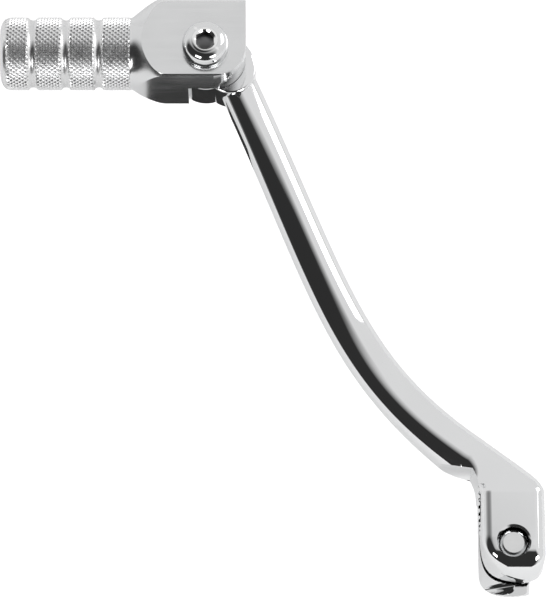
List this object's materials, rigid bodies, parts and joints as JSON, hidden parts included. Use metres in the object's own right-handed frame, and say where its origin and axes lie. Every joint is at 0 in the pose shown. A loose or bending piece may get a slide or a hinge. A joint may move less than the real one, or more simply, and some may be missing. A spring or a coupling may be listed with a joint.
{
  "type": "gear shift lever",
  "caption": "Motorcycle gear shift lever: curved forged arm with a splined clamp hub and a folding knurled toe peg on a pivot screw.",
  "frame": {"origin": "centre of the splined shaft bore, midway between the hub's two end faces", "axes": "+X along the gear shaft, +Y from the shaft towards the pivot end, +Z along the tip's pivot screw towards its head"},
  "size_m": [0.1217, 0.1375, 0.032],
  "materials": {
    "forged_chrome": "bright chrome plate on forged steel",
    "satin_steel": "satin plate on machined steel",
    "plated_fastener": "bright zinc plate",
    "hidden_steel": "oiled plain steel"
  },
  "bodies": {
    "lever": {"lever_arm": "forged_chrome", "pivot_screw": "plated_fastener", "pivot_sleeve": "hidden_steel", "thrust_washer": "plated_fastener", "return_spring": "hidden_steel", "pinch_bolt": "plated_fastener", "pinch_lock_washer": "plated_fastener"},
    "tip": {"folding_tip": "satin_steel"}
  },
  "joints": [
    {"name": "tip_fold", "type": "hinge", "parent": "lever", "child": "tip", "pos_m": [-0.0679, 0.1036, 0], "axis": [0, 0, 1], "range_deg": [0, 45], "stiffness_Nm_per_rad": 0.4, "springref_deg": -45.84}
  ]
}
